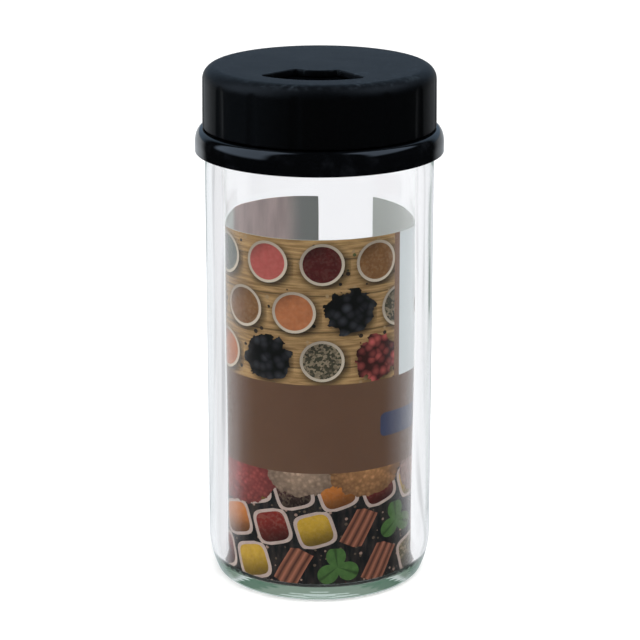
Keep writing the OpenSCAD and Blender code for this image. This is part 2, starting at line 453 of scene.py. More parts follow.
def rolledSheetTree(printed, plain):
    # rolls a flat sheet into an open cone and gives it a thickness; its print place is kept in metres
    tree, board, source, size = newShape("rolledSheet", [
        ("Lower Radius", "Float"), ("Upper Radius", "Float"), ("Lower Edge", "Float"), ("Height", "Float"),
        ("Thickness", "Float"), ("Start Angle", "Float"), ("Sweep", "Float"), ("Waviness", "Float"),
        ("Skew", "Float"),
        ("Columns", "Int"), ("Rows", "Int"),
    ])
    grid = board.add("GeometryNodeMeshGrid", None, {
        "Size X": 1.0, "Size Y": 1.0, "Vertices X": size["Columns"], "Vertices Y": size["Rows"],
    })
    x, y, z = board.split(board.add("GeometryNodeInputPosition"))
    up = y + 0.5
    angle = size["Start Angle"] + size["Sweep"] * (x + 0.5)
    low = size["Skew"] * (1.0 - x.fade(-0.5, -0.28)) * up
    height = size["Lower Edge"] + size["Height"] * up - low
    cone = size["Lower Radius"] + (size["Upper Radius"] - size["Lower Radius"]) * up
    unevenPlace = board.join(angle.cosine() * 1.3, angle.sine() * 1.3, up * 0.8)
    uneven = board.noise(unevenPlace, 2.0, 1.0) - 0.5
    radius = cone - size["Waviness"] * abs(uneven)
    place = board.join(radius * angle.sine(), -(radius * angle.cosine()), height)
    marked = board.add(
        "GeometryNodeStoreNamedAttribute", {"data_type": "FLOAT_VECTOR", "domain": "POINT"},
        {"Geometry": grid, "Name": "printPlace", "Value": board.join(angle * cone, height)},
    )
    rolled = board.add("GeometryNodeSetPosition", None, {"Geometry": marked, "Position": place})
    inwards = board.add("GeometryNodeExtrudeMesh", {"mode": "FACES"}, {
        "Mesh": rolled, "Offset Scale": -size["Thickness"], "Individual": False,
    })
    back = board.add("GeometryNodeFlipFaces", None, {"Mesh": inwards})
    front = board.add("GeometryNodeSetMaterial", None, {"Geometry": rolled, "Material": printed})
    back = board.add("GeometryNodeSetMaterial", None, {"Geometry": back, "Material": plain})
    both = board.add("GeometryNodeJoinGeometry")
    for part in (back, front):
        board.tree.links.new(part.socket, both.socket.node.inputs[0])
    joined = board.add("GeometryNodeMergeByDistance", None, {"Geometry": both, "Distance": 1e-6})
    closeShape(board, joined)
    return tree


# clear glass

glassFinish = {
    "tint": (0.992, 0.996, 0.996),
    "bodyColour": (0.5, 0.8, 0.68),  # what is left of white light through a depth of 1 / density
    "density": 12.0,  # per metre
    "index": 1.5,
    "guidedLight": (0.09, 0.12, 0.1),  # stands in for light still inside the glass after guidedSteps bounces
    "guidedSteps": 4.5,
}


def clearGlass():
    material, board = newMaterial("clearGlass")
    guided = board.add("ShaderNodeLightPath", out="Ray Depth") > glassFinish["guidedSteps"]
    surface = board.add("ShaderNodeBsdfPrincipled", None, {
        "Base Color": glassFinish["tint"], "Roughness": 0.0, "IOR": glassFinish["index"],
        "Transmission Weight": 1.0, "Emission Color": board.shade(glassFinish["guidedLight"], guided),
        "Emission Strength": 1.0,
    })
    depth = board.add("ShaderNodeVolumeAbsorption", None, {
        "Color": glassFinish["bodyColour"], "Density": glassFinish["density"],
    })
    board.add("ShaderNodeOutputMaterial", None, {"Surface": surface, "Volume": depth})
    return material


# soft white seal

def sealFoam():
    material, board = newMaterial("sealFoam")
    place = board.add("ShaderNodeTexCoord", out="Object")
    cells = board.add("ShaderNodeTexVoronoi", {"feature": "F1"}, {"Vector": place, "Scale": 2600.0})
    tone = board.noise(place, 350.0, 3.0)
    colour = board.mix(tone, (0.78, 0.78, 0.74), (0.9, 0.9, 0.87))
    bump = board.add("ShaderNodeBump", None, {"Strength": 0.5, "Distance": 0.06 * mm, "Height": cells})
    finishMaterial(board, {"Base Color": colour, "Roughness": 0.75, "Normal": bump})
    return material


# polished black moulding

glossFinish = {"colour": (0.0012, 0.0015, 0.002), "scuffColour": (0.006, 0.007, 0.009), "roughness": 0.06}


def blackGloss():
    material, board = newMaterial("blackGloss")
    place = board.add("ShaderNodeTexCoord", out="Object")
    wave = board.noise(place, 90.0, 1.0)
    smear = board.noise(place, 260.0, 4.0, 0.6).fade(0.5, 0.75)
    colour = board.mix(smear, glossFinish["colour"], glossFinish["scuffColour"])
    roughness = smear * 0.1 + glossFinish["roughness"]
    bump = board.add("ShaderNodeBump", None, {"Strength": 0.2, "Distance": 0.25 * mm, "Height": wave})
    finishMaterial(board, {"Base Color": colour, "Roughness": roughness, "IOR": 1.49, "Normal": bump})
    return material


# spark-eroded black moulding

mattFinish = {
    "colour": (0.0006, 0.0009, 0.0014), "dust": (0.05, 0.065, 0.08), "scuff": (0.018, 0.024, 0.03),
    "grain": 0.3 * mm, "roughness": 0.4, "rimRadius": 19.5 * mm,
}


def blackMatt():
    material, board = newMaterial("blackMatt")
    place = board.add("ShaderNodeTexCoord", out="Object")
    x, y, z = board.split(place)
    onTop = z.fade(dialHigh.z - 1.2 * mm, dialHigh.z - 0.2 * mm)
    nearRim = (x * x + y * y).root().fade(mattFinish["rimRadius"] - 4 * mm, mattFinish["rimRadius"])
    grain = board.noise(place, 1 / mattFinish["grain"], 3.0, 0.6)
    patches = board.noise(place, 140.0, 3.0, 0.6)
    rubbed = board.noise(place, 900.0, 4.0, 0.7).fade(0.46, 0.66) * patches.fade(0.38, 0.62)
    specks = board.add("ShaderNodeTexVoronoi", {"feature": "F1"}, {"Vector": place, "Scale": 520.0})
    keep = board.noise(place, 420.0, 0.0)
    dust = (1.0 - specks.fade(0.1, 0.2)) * keep.fade(0.6, 0.66)
    across = board.noise(board.join(x * 150 + y * 260, y * 170), 1.0, 0.0)
    scratches = (1.0 - abs(across - 0.5).fade(0.0, 0.008)) * board.noise(place, 260.0, 0.0).fade(0.56, 0.62)
    scuffed = onTop * (rubbed * (0.35 + nearRim * 0.65)).most(scratches)
    colour = board.mix(scuffed, mattFinish["colour"], mattFinish["scuff"])
    colour = board.mix(dust * onTop * 0.6, colour, mattFinish["dust"])
    roughness = mattFinish["roughness"] + patches * 0.1
    bump = board.add("ShaderNodeBump", None, {"Strength": 0.55, "Distance": 0.05 * mm, "Height": grain})
    finishMaterial(board, {"Base Color": colour, "Roughness": roughness, "IOR": 1.42, "Specular IOR Level": 0.3, "Normal": bump})
    return material


# printed sheet

printSheet = {
    "bandLow": 26.8, "bandHigh": 45.1, "pictureLeft": -26.0, "pictureRight": 15.2, "strip": 1.3,
    "bandColour": (0.125, 0.062, 0.036), "paleColour": (0.6, 0.63, 0.65), "roughness": 0.45,
}
bowlPicture = {
    "wide": 10.6, "high": 9.7, "bowl": 4.15, "rim": 0.55, "plank": 7.3,
    "woodDark": (0.19, 0.105, 0.04), "woodLight": (0.42, 0.26, 0.11), "rimColour": (0.5, 0.42, 0.33),
}
bowlFills = [  # colour and share of coarse grain, for kinds 0 to 9
    ((0.36, 0.12, 0.045), 0.1), ((0.36, 0.075, 0.065), 0.08), ((0.05, 0.006, 0.006), 0.9),
    ((0.02, 0.022, 0.027), 0.3), ((0.07, 0.006, 0.006), 0.1), ((0.09, 0.045, 0.032), 1.0),
    ((0.065, 0.058, 0.036), 1.0), ((0.17, 0.075, 0.024), 0.2), ((0.11, 0.13, 0.125), 0.3),
    ((0.24, 0.045, 0.04), 0.3),
]
dishPicture = {
    "low": 3.0, "wide": 8.4, "high": 7.9, "dish": 3.75, "rim": 0.65, "turn": 17.0,
    "groundDark": (0.005, 0.006, 0.008), "groundLight": (0.04, 0.03, 0.026), "rimColour": (0.42, 0.32, 0.28),
}
dishFills = [
    ((0.16, 0.012, 0.008), 0.2), ((0.44, 0.24, 0.03), 0.15), ((0.4, 0.11, 0.02), 0.1), ((0.42, 0.25, 0.02), 0.15),
    ((0.06, 0.022, 0.02), 0.6), ((0.1, 0.075, 0.02), 0.9), ((0.3, 0.1, 0.055), 0.2), ((0.42, 0.13, 0.02), 0.15),
    ((0.17, 0.025, 0.018), 0.3), ((0.075, 0.14, 0.05), 0.3),
]
heaps = [  # middle, half width, half height, colour
    ((-18.0, 25.0), 10.0, 6.6, (0.26, 0.05, 0.045)), ((-3.5, 26.5), 6.6, 4.6, (0.3, 0.2, 0.14)),
    ((9.5, 27.0), 7.6, 5.6, (0.32, 0.15, 0.06)), ((23.0, 25.5), 6.0, 6.4, (0.34, 0.2, 0.17)),
    ((36.0, 25.5), 8.0, 6.0, (0.26, 0.05, 0.045)), ((-38.0, 25.5), 8.0, 6.0, (0.32, 0.15, 0.06)),
    ((-51.0, 25.5), 7.0, 6.0, (0.16, 0.13, 0.06)),
]
pod = {"middle": (24.4, 58.0), "half": (2.6, 2.3), "colour": (0.2, 0.05, 0.05)}
bluePatch = {"left": 12.0, "right": 38.0, "low": 33.2, "high": 38.1, "corner": 1.1, "colour": (0.045, 0.052, 0.105)}


def reach(x, y):
    return (x * x + y * y).root()


def turned(x, y, degrees):
    across, up = math.cos(math.radians(degrees)), math.sin(math.radians(degrees))
    return x * across + y * up, y * across - x * up


def staggeredCells(x, y, wide, high):
    # place inside a cell, and its kind from 0 to 9, so that no two neighbours are alike
    row = (y / high).floor()
    along = x / wide + (row % 2.0) * 0.5
    column = along.floor()
    kind = (column * 3 + row * 4) % 10.0
    return (along - column - 0.5) * wide, (y / high - row - 0.5) * high, kind


def pickFill(board, kind, fills):
    share = (kind + 0.5) / len(fills)
    colour = board.ramp(share, [(i / len(fills), fill[0]) for i, fill in enumerate(fills)], "CONSTANT")
    coarse = board.ramp(share, [(i / len(fills), (fill[1],) * 3) for i, fill in enumerate(fills)], "CONSTANT")
    return colour, coarse


def spice(board, x, y, colour, coarse):
    # powder with a fine mottle, or coarse grains of changing tone
    cells = board.add("ShaderNodeTexVoronoi", None, {"Vector": board.join(x, y), "Scale": 2.3})
    tone, other, third = board.split(cells.also("Color"))
    grains = board.mix(tone.fade(0.35, 0.9) * 0.75, board.shade(colour, 0.5), (0.4, 0.3, 0.2))
    powder = board.shade(colour, 0.7 + board.noise(board.join(x, y), 0.9, 4.0) * 0.6)
    return board.mix(coarse, powder, board.mix(0.35, grains, powder))


def clumps(board, x, y, colour, size):
    # rounded lumps with a lit top and dark gaps
    cells = board.add("ShaderNodeTexVoronoi", None, {"Vector": board.join(x, y), "Scale": 1 / size})
    tone, other, third = board.split(cells.also("Color"))
    lit = (0.75 - cells) * (0.6 + tone * 1.3)
    return board.shade(colour, lit.most(0.08) * 1.9)


def scattered(board, x, y, size, share):
    # small loose grains; gives where they lie and a number for each
    cells = board.add("ShaderNodeTexVoronoi", None, {"Vector": board.join(x, y), "Scale": 1 / size})
    tone, other, third = board.split(cells.also("Color"))
    return (cells < 0.22 + other * 0.14) * (tone < share), third


def woodPlanks(board, x, y):
    p = bowlPicture
    plank = (y / p["plank"] + 0.35).floor()
    seam = abs((y / p["plank"] + 0.35) % 1.0 - 0.5).fade(0.46, 0.5)
    tone = board.add("ShaderNodeTexWhiteNoise", {"noise_dimensions": "1D"}, {"W": plank})
    grain = board.noise(board.join(x * 0.16 + plank * 31, y * 1.9), 1.0, 5.0, 0.6)
    wood = board.mix(grain.fade(0.3, 0.72), p["woodDark"], p["woodLight"])
    return board.shade(wood, (0.75 + tone * 0.45) * (1.0 - seam * 0.6))


def upperPicture(board, x, y):
    # round bowls of spice in staggered rows on wooden planks, with clumps between them
    p = bowlPicture
    fromLeft, fromLow = x - printSheet["pictureLeft"], y - printSheet["bandHigh"]
    cellX, cellY, kind = staggeredCells(fromLeft, fromLow, p["wide"], p["high"])
    fill, coarse = pickFill(board, kind, bowlFills)
    uneven = board.noise(board.join(x, y), 0.5, 2.0) - 0.5
    far = reach(cellX, cellY)
    ground = woodPlanks(board, x, y)
    crumbs, tone = scattered(board, x, y, 1.25, 0.3)
    crumbColour = board.ramp(tone, [(0.0, (0.03, 0.02, 0.015)), (0.35, (0.16, 0.03, 0.02)),
                                    (0.6, (0.07, 0.08, 0.03)), (0.8, (0.3, 0.2, 0.1))], "CONSTANT")
    shadow = 1.0 - reach(cellX - 0.5, cellY + 0.6).fade(p["bowl"] * 0.85, p["bowl"] * 1.35)
    ground = board.shade(board.mix(crumbs, ground, crumbColour), 1.0 - shadow * 0.8)
    inner = p["bowl"] - p["rim"]
    heaped = spice(board, x, y, fill, coarse)
    dim = (cellY * 0.8 - cellX * 0.5).fade(inner * 0.2, inner * 1.1) * 0.5
    inside = board.shade(heaped, 1.08 - dim)
    rim = board.shade(p["rimColour"], 0.85 + (cellX * 0.6 - cellY * 0.8) * 0.06)
    bowl = board.mix(far < inner, rim, inside)
    colour = board.mix(far < p["bowl"], ground, bowl)
    lumpy = kind.within(2.5, 3.5) + kind.within(8.5, 9.5)
    loose = board.mix(far + uneven * 5.0 < p["bowl"] * 1.12, ground, clumps(board, x, y, fill, 1.7))
    return board.mix(lumpy, colour, loose)


def cinnamon(board, x, y):
    along, across = turned(x, y, 62.0)
    stick = (across / 1.5) % 1.0
    round_ = 1.0 - abs(stick - 0.5) * 1.7
    streak = board.noise(board.join(along * 0.4, across * 4), 1.0, 3.0) * 0.6 + 0.7
    return board.shade((0.34, 0.12, 0.07), round_ * streak), (abs(across) < 2.25) * (abs(along) < 4.0)


def leaves(board, x, y):
    angle = board.angle(y, x)
    lobe = (angle * 1.5 + 0.6).cosine()
    far = reach(x, y)
    vein = abs((angle * 1.5 + 0.6).sine())
    tone = board.noise(board.join(x, y), 0.9, 3.0) * 0.8 + 0.5
    green = board.shade((0.055, 0.125, 0.03), tone * (0.55 + vein.fade(0.0, 0.25) * 0.6))
    return green, far < 4.3 * (0.35 + abs(lobe) * 0.65)


def lowerPicture(board, x, y):
    # square dishes, bundled sticks and leaves on a dark table, under a row of spice heaps
    p = dishPicture
    cellX, cellY, kind = staggeredCells(x - printSheet["pictureLeft"], y - p["low"], p["wide"], p["high"])
    fill, coarse = pickFill(board, kind, dishFills)
    grain = board.noise(board.join(x * 0.8, y * 0.2), 1.0, 5.0, 0.6)
    ground = board.mix(grain.fade(0.35, 0.75), p["groundDark"], p["groundLight"])
    crumbs, tone = scattered(board, x, y, 0.95, 0.4)
    crumbColour = board.ramp(tone, [(0.0, (0.3, 0.19, 0.15)), (0.4, (0.28, 0.06, 0.04)),
                                    (0.7, (0.1, 0.07, 0.05))], "CONSTANT")
    ground = board.mix(crumbs, ground, crumbColour)
    across, up = turned(cellX, cellY, p["turn"])
    far = ((across ** 2.0) ** 2.0 + (up ** 2.0) ** 2.0) ** 0.25
    inside = board.shade(spice(board, x, y, fill, coarse), 1.15 - (-up * 0.3).fade(-0.6, 1.0) * 0.85)
    rim = board.shade(p["rimColour"], 0.75 + board.noise(board.join(x, y), 0.7, 3.0) * 0.5)
    dish = board.mix(far < p["dish"] - p["rim"], rim, inside)
    colour = board.mix(far < p["dish"], ground, dish)
    sticks, onSticks = cinnamon(board, cellX, cellY)
    bundled = kind.within(5.5, 6.5) + kind.within(1.5, 2.5)
    colour = board.mix(bundled, colour, board.mix(onSticks, ground, sticks))
    green, onLeaves = leaves(board, cellX, cellY)
    colour = board.mix(kind.within(8.5, 9.5), colour, board.mix(onLeaves, ground, green))
    uneven = board.noise(board.join(x, y), 0.6, 3.0) * 0.4 - 0.2
    for middle, halfWide, halfHigh, tone in heaps:
        far = reach((x - middle[0]) / halfWide, (y - middle[1]) / halfHigh) + uneven
        powder = board.shade(tone, 0.35 + board.noise(board.join(x, y), 0.8, 5.0, 0.7) * 1.1)
        heap = board.mix(0.3, powder, clumps(board, x, y, tone, 0.8))
        colour = board.mix(far < 1.0, colour, board.shade(heap, 0.7 + (1.0 - far) * 0.7))
    return colour


def printFace():
    material, board = newMaterial("printFace")
    p = printSheet
    place = board.add("ShaderNodeAttribute", {"attribute_name": "printPlace"}, out="Vector")
    x, y, z = board.split(board.shade(place, 1 / mm))
    inPicture = x.within(p["pictureLeft"], p["pictureRight"])
    onStrip = x.within(p["pictureRight"], p["pictureRight"] + p["strip"])
    onPod = reach((x - pod["middle"][0]) / pod["half"][0], (y - pod["middle"][1]) / pod["half"][1]) < 1.0
    pale = board.mix(onPod, p["paleColour"], clumps(board, x, y, pod["colour"], 1.6))
    upper = board.mix(inPicture, pale, upperPicture(board, x, y))
    upper = board.mix(onStrip, upper, board.shade(p["bandColour"], 1.5))
    colour = board.mix(y < p["bandLow"], upper, lowerPicture(board, x, y))
    band = board.shade(p["bandColour"], 0.92 + board.noise(board.join(x, y), 0.25, 3.0) * 0.16)
    b = bluePatch
    middle, half = (b["high"] + b["low"]) / 2, (b["high"] - b["low"]) / 2 - b["corner"]
    beside = (b["left"] + b["corner"] - x).most(x - b["right"] + b["corner"]).most(0.0)
    onPatch = reach(beside, (abs(y - middle) - half).most(0.0)) < b["corner"]
    colour = board.mix(y.within(p["bandLow"], p["bandHigh"]), colour, board.mix(onPatch, band, b["colour"]))
    finishMaterial(board, {"Base Color": colour, "Roughness": p["roughness"], "Specular IOR Level": 0.2})
    return material


# pink is painted light shining through the paper; shade is painted shade towards the sheet's end
sheetBack = {
    "plain": (0.72, 0.73, 0.72), "pink": (0.66, 0.51, 0.51), "shade": (0.3, 0.3, 0.3), "roughness": 0.55,
    "pinkFrom": -33.0, "pinkTo": -49.0, "streakSlope": 0.32, "streakHeight": 62.0,
}


def printBack():
    # plain paper, with painted light and shade: soft pink streaks stand for the printed side shining through it a
    # little, and the back darkens to a painted shade towards one end
    material, board = newMaterial("printBack")
    b = sheetBack
    place = board.add("ShaderNodeAttribute", {"attribute_name": "printPlace"}, out="Vector")
    x, y, z = board.split(board.shade(place, 1 / mm))
    streaks = board.noise(board.join(x * 0.35, y * 0.06), 1.0, 3.0).fade(0.35, 0.7)
    behind = (-x).fade(-b["pinkFrom"], 4 - b["pinkFrom"])
    # painted light: pink streaks where light shines through the printed side of the paper
    pink = board.mix(streaks, b["pink"], board.shade(b["pink"], 0.75))
    # painted shade: past pinkTo the back darkens to the shade colour
    pink = board.mix((-x).fade(2 - b["pinkTo"], 7 - b["pinkTo"]), pink, b["shade"])
    colour = board.mix(behind, b["plain"], pink)
    lift = abs(y - b["streakHeight"] - (x - b["pinkTo"]) * b["streakSlope"])
    colour = board.mix((1.0 - lift.fade(0.1, 0.8)) * behind * 0.5, colour, b["plain"])
    finishMaterial(board, {"Base Color": colour, "Roughness": b["roughness"]})
    return material


# glass jar

glassJar = {
    "columns": 384,
    "wallTop": 3.25 * mm, "wallFoot": 3.75 * mm, "floor": 2.75 * mm, "floorRise": 1.1 * mm, "floorFillet": 1.5 * mm,
    "punt": 1.2 * mm, "bearingWidth": 3.2 * mm, "heelHeight": 8 * mm, "heelRadius": 18 * mm, "footRadius": 1.5 * mm,
    "neckRadius": 18.4 * mm, "boreRadius": 15.9 * mm, "neckHeight": 9.9 * mm, "lipEdge": 0.8 * mm,
    "ringRadius": 0.5 * mm, "ringUp": 1.6 * mm, "neckFillet": 0.6 * mm, "shoulderFlat": 0.7 * mm,
    "crownHeight": 4 * mm, "crownRadius": 45 * mm, "boreEdge": 2 * mm, "boreEdgeUp": 0.6 * mm,
    "cavityShoulder": 2.2 * mm, "ripple": 0.05 * mm,
}
screwThread = {
    "Depth": 0.95 * mm, "Lead": 4.2 * mm, "Turns": 1.2, "Start Height": 93.4 * mm, "Start Turn": 0.1,
    "Crest Width": 0.7 * mm, "Flank Width": 0.85 * mm,
}
bearingKnurls = {"Count": 60, "Depth": 0.16 * mm}


def glassOutline():
    g = glassJar
    body = glassHigh.x
    lip = glassHigh.z
    shoulder = lip - g["neckHeight"]
    crownTurn = math.asin(g["crownHeight"] / g["crownRadius"])
    crownIn = g["crownRadius"] * (1 - math.cos(crownTurn))
    shoulderEnd = g["neckRadius"] + g["neckFillet"] + g["shoulderFlat"]
    shoulderRadius = (body - crownIn - shoulderEnd) / math.cos(crownTurn)
    crownFoot = shoulder - shoulderRadius * (1 - math.sin(crownTurn)) - g["crownHeight"]
    leaning = math.degrees(crownTurn)
    heel = (body - g["heelRadius"], g["heelHeight"])
    heelTurn = math.degrees(math.asin((g["heelHeight"] - g["footRadius"]) / (g["heelRadius"] - g["footRadius"])))
    foot = (heel[0] + (g["heelRadius"] - g["footRadius"]) * math.cos(math.radians(heelTurn)), g["footRadius"])
    cavityTop = body - g["wallTop"]
    cavityFoot = body - g["wallFoot"]
    boreEdge = shoulder + g["boreEdgeUp"]
    slope = math.cos(math.radians(45))
    run = cavityTop - g["boreRadius"] - (1 - slope) * (g["cavityShoulder"] + g["boreEdge"])
    cavityTopHeight = boreEdge - run - slope * (g["boreEdge"] + g["cavityShoulder"])
    floorEdge = cavityFoot - g["floorFillet"]
    bearing = foot[0] - g["bearingWidth"]
    neckLow = (g["neckRadius"], shoulder + g["ringUp"] + g["ringRadius"])
    neckHigh = (g["neckRadius"], lip - g["lipEdge"])
    wallLow = (cavityFoot, g["floor"] + g["floorFillet"])
    wallHigh = (cavityTop, cavityTopHeight)
    outside = (
        dome(bearing, g["punt"], g["punt"]) + stretch((bearing, 0), (foot[0], 0), 8)
        + arc(foot, g["footRadius"], -90, -heelTurn) + arc(heel, g["heelRadius"], -heelTurn, 0)
        + arc((body - g["crownRadius"], crownFoot), g["crownRadius"], 0, leaning, 6)
        + arc((shoulderEnd, shoulder - shoulderRadius), shoulderRadius, leaning, 90)
        + arc((g["neckRadius"] + g["neckFillet"], shoulder + g["neckFillet"]), g["neckFillet"], 270, 180, 5)
        + arc((g["neckRadius"], shoulder + g["ringUp"]), g["ringRadius"], -90, 90)
        + stretch(neckLow, neckHigh, 34)
        + arc((g["neckRadius"] - g["lipEdge"], lip - g["lipEdge"]), g["lipEdge"], 0, 90, 6)
    )
    inside = (
        arc((g["boreRadius"] + g["lipEdge"], lip - g["lipEdge"]), g["lipEdge"], 90, 180, 6)
        + arc((g["boreRadius"] + g["boreEdge"], boreEdge), g["boreEdge"], 180, 225, 6)
        + arc((cavityTop - g["cavityShoulder"], cavityTopHeight), g["cavityShoulder"], 45, 0, 6)
        + stretch(wallHigh, wallLow, 50)
        + arc((floorEdge, g["floor"] + g["floorFillet"]), g["floorFillet"], 0, -90, 6)
        + dome(floorEdge, g["floorRise"], g["floor"] + g["floorRise"])[::-1]
    )
    return supported(outside + inside, 0.15 * mm), wallLow, wallHigh, bearing, foot[0]


def makeGlassJar():
    outline, wallLow, wallHigh, bearing, foot = glassOutline()
    jar = Form(glassJar["columns"])
    jar.revolve(outline)

    def ripple(place):
        # the blown inner wall is a little uneven, in long upright waves
        radius = math.hypot(place.x, place.y)
        edge = min(place.z - wallLow[1], wallHigh[1] - place.z) / (6 * mm)
        if edge <= 0 or radius < wallLow[0] - 0.3 * mm or radius > wallHigh[0] + 0.1 * mm:
            return place
        wave = noise.noise(Vector((place.x / radius * 2.4, place.y / radius * 2.4, place.z / (40 * mm))))
        wave += 0.4 * noise.noise(Vector((place.x / radius * 6, place.y / radius * 6, place.z / (25 * mm) + 7)))
        scale = 1 + wave * min(edge, 1) * glassJar["ripple"] / radius
        return Vector((place.x * scale, place.y * scale, place.z))

    jar.move(ripple)
    glass = clearGlass()
    piece = jar.piece("jarGlass", glass)
    runShape(piece, screwThreadTree(glass), {"Wall Radius": glassJar["neckRadius"], **screwThread})
    runShape(piece, bearingKnurlsTree(glass), {"Inner Radius": bearing, "Outer Radius": foot, **bearingKnurls})
    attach(piece, "jar")
    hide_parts("glass_jar")
    print("glass jar made")


# rolled printed sheet

insertSheet = {
    "thickness": 0.25 * mm, "play": 0.15 * mm, "startDegrees": -179.0, "sweepDegrees": 321.0,
    "waviness": 0.1 * mm, "skew": 0.8 * mm, "seatGap": 0.06 * mm, "columns": 216, "rows": 40,
}


def makeInsertSheet():
    s = insertSheet
    upper = sheetHigh.x
    lower = glassHigh.x - glassJar["wallFoot"] - s["play"]
    fillet = glassJar["floorFillet"]
    seat = glassJar["floor"] + fillet - math.sqrt(fillet ** 2 - (fillet - s["play"]) ** 2) + s["seatGap"]
    holder = Form().piece("insertSheet", printFace(), printBack())
    printed, plain = holder.data.materials
    runShape(holder, rolledSheetTree(printed, plain), {
        "Lower Radius": lower, "Upper Radius": upper, "Lower Edge": seat, "Height": sheetHigh.z - seat,
        "Thickness": s["thickness"], "Start Angle": math.radians(s["startDegrees"]),
        "Sweep": math.radians(s["sweepDegrees"]), "Waviness": s["waviness"], "Skew": s["skew"],
        "Columns": s["columns"], "Rows": s["rows"],
    })
    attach(holder, "jar")
    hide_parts("insert_sheet")
    print("insert sheet made")


# seal ring

sealRing = {"edge": 0.3 * mm, "boreRadius": 16.3 * mm, "columns": 192}


def makeSealRing():
    edge = sealRing["edge"]
    inner, outer = sealRing["boreRadius"], sealHigh.x
    low, high = sealLow.z, sealHigh.z
    corners = [((outer - edge, low + edge), -90), ((outer - edge, high - edge), 0),
               ((inner + edge, high - edge), 90), ((inner + edge, low + edge), 180)]
    outline = [point for centre, start in corners for point in arc(centre, edge, start, start + 90, 4)]
    ring = Form(sealRing["columns"])
    rings = ring.revolve(outline)
    ring.band(rings[-1], rings[0])
    piece = ring.piece("sealRing", sealFoam())
    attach(piece, "seal")
    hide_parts("seal_ring")
    print("seal ring made")


# sifter collar

sifterCollar = {
    "columns": 384, "plate": 1.4 * mm, "threadGap": 0.4 * mm, "tubeWall": 1.05 * mm, "tubeEdge": 0.6 * mm,
    "shelf": 1.2 * mm, "shelfTop": 92.1 * mm, "ledgeOut": 0.1 * mm, "browHeight": 2.8 * mm, "browWidth": 1.4 * mm,
    "sweepHeight": 0.45 * mm, "rimHeight": 0.75 * mm, "skirtWall": 1.4 * mm, "skirtCorner": 1.2 * mm,
    "ribOut": 0.5 * mm, "ribLow": 94.3 * mm, "ribLength": 1.2 * mm, "holeEdge": 0.12 * mm,
}
siftField = {
    "inner": 7.6 * mm, "outer": 15 * mm, "spread": 68.0, "aim": -6.0, "corner": 1 * mm,
    "coarse": 3.4 * mm, "coarseRows": [2, 3], "fine": 1.6 * mm, "fineRows": [3, 4, 5],
}


def polar(radius, degrees):
    return Vector((radius * math.cos(math.radians(degrees)), radius * math.sin(math.radians(degrees))))


def fanLoop(inner, outer, spread, corner, aim):
    # a fan between two radii with rounded corners, as one closed loop round direction aim
    half = spread / 2
    outerTurn = half - math.degrees(math.asin(corner / (outer - corner)))
    innerTurn = half - math.degrees(math.asin(corner / (inner + corner)))
    side = (
        arc((0, 0), outer, 0, outerTurn, 12)
        + arc(polar(outer - corner, outerTurn), corner, outerTurn, half + 90, 6)[1:]
        + arc(polar(inner + corner, innerTurn), corner, half + 90, innerTurn + 180, 6)
        + arc((0, 0), inner, innerTurn, 0, 12)[1:]
    )
    loop = [Vector((x, -y)) for x, y in reversed(side[1:-1])] + [Vector(p) for p in side]
    turn = math.radians(aim)
    return [Vector((p.x * math.cos(turn) - p.y * math.sin(turn), p.x * math.sin(turn) + p.y * math.cos(turn)))
            for p in loop]


def holeLoops(rows, diameter, aim):
    loops = []
    for k, count in enumerate(rows):
        room = siftField["outer"] - siftField["inner"] - diameter
        radius = siftField["inner"] + diameter / 2 + room * k / (len(rows) - 1)
        reach = siftField["spread"] / 2 - math.degrees(math.asin(diameter / 2 / radius))
        for i in range(count):
            centre = polar(radius, aim + reach * (2 * i / (count - 1) - 1))
            loops.append([Vector(p) for p in arc(centre, diameter / 2, 0, 360, 32)[:-1]])
    return loops


def collarOutline():
    c = sifterCollar
    deck = collarHigh.z
    plateLow = deck - c["plate"]
    tubeIn = glassJar["neckRadius"] + screwThread["Depth"] + c["threadGap"]
    tube = tubeIn + c["tubeWall"]
    rib = tube + c["ribOut"]
    ribHigh = c["ribLow"] + c["ribLength"]
    ledge = dialHigh.x + c["ledgeOut"]
    rim = collarHigh.x
    brow = c["shelfTop"] - c["browHeight"]
    shelfLow = c["shelfTop"] - c["shelf"]
    sweepWidth = rim - ledge - c["browWidth"]
    outline = (
        arc((tube - c["tubeEdge"], deck - c["tubeEdge"]), c["tubeEdge"], 90, 0, 6)
        + [(tube, ribHigh + c["ribOut"]), (rib, ribHigh), (rib, c["ribLow"]), (tube, c["ribLow"])]
        + [(tube, c["shelfTop"])]
        + arc((ledge, brow), (c["browWidth"], c["browHeight"]), 90, 0, 14)
        + arc((rim, brow), (sweepWidth, c["sweepHeight"]), 180, 270, 8)
        + [(rim, collarLow.z), (rim - c["skirtWall"], collarLow.z)]
        + arc((rim - c["skirtWall"] - c["skirtCorner"] - 0.4 * mm, brow), (c["skirtCorner"], shelfLow - brow), 0, 90)
        + [(tubeIn, shelfLow)] + stretch((tubeIn, shelfLow), (tubeIn, plateLow), 42) + [(tubeIn, plateLow)]
    )
    return supported(outline, 0.1 * mm), plateLow, tubeIn


def makeSifterCollar():
    outline, plateLow, tubeIn = collarOutline()
    collar = Form(sifterCollar["columns"])
    rings = collar.revolve(outline)
    f = siftField
    holes = holeLoops(f["coarseRows"], f["coarse"], f["aim"])
    holes += [fanLoop(f["inner"], f["outer"], f["spread"], f["corner"], f["aim"] + 90)]
    holes += holeLoops(f["fineRows"], f["fine"], f["aim"] + 180)
    collar.perforate(rings[0], rings[-1], holes, collarHigh.z, plateLow, sifterCollar["holeEdge"])
    gloss = blackGloss()
    piece = collar.piece("sifterCollar", gloss)
    runShape(piece, screwThreadTree(gloss), {
        **screwThread, "Wall Radius": tubeIn, "Depth": -screwThread["Depth"], "Turns": 0.9,
        "Start Turn": screwThread["Start Turn"] + 0.5, "Crest Width": 0.5 * mm, "Flank Width": 0.6 * mm,
    })
    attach(piece, "collar")
    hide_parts("sifter_collar")
    print("sifter collar made")


# dial cap

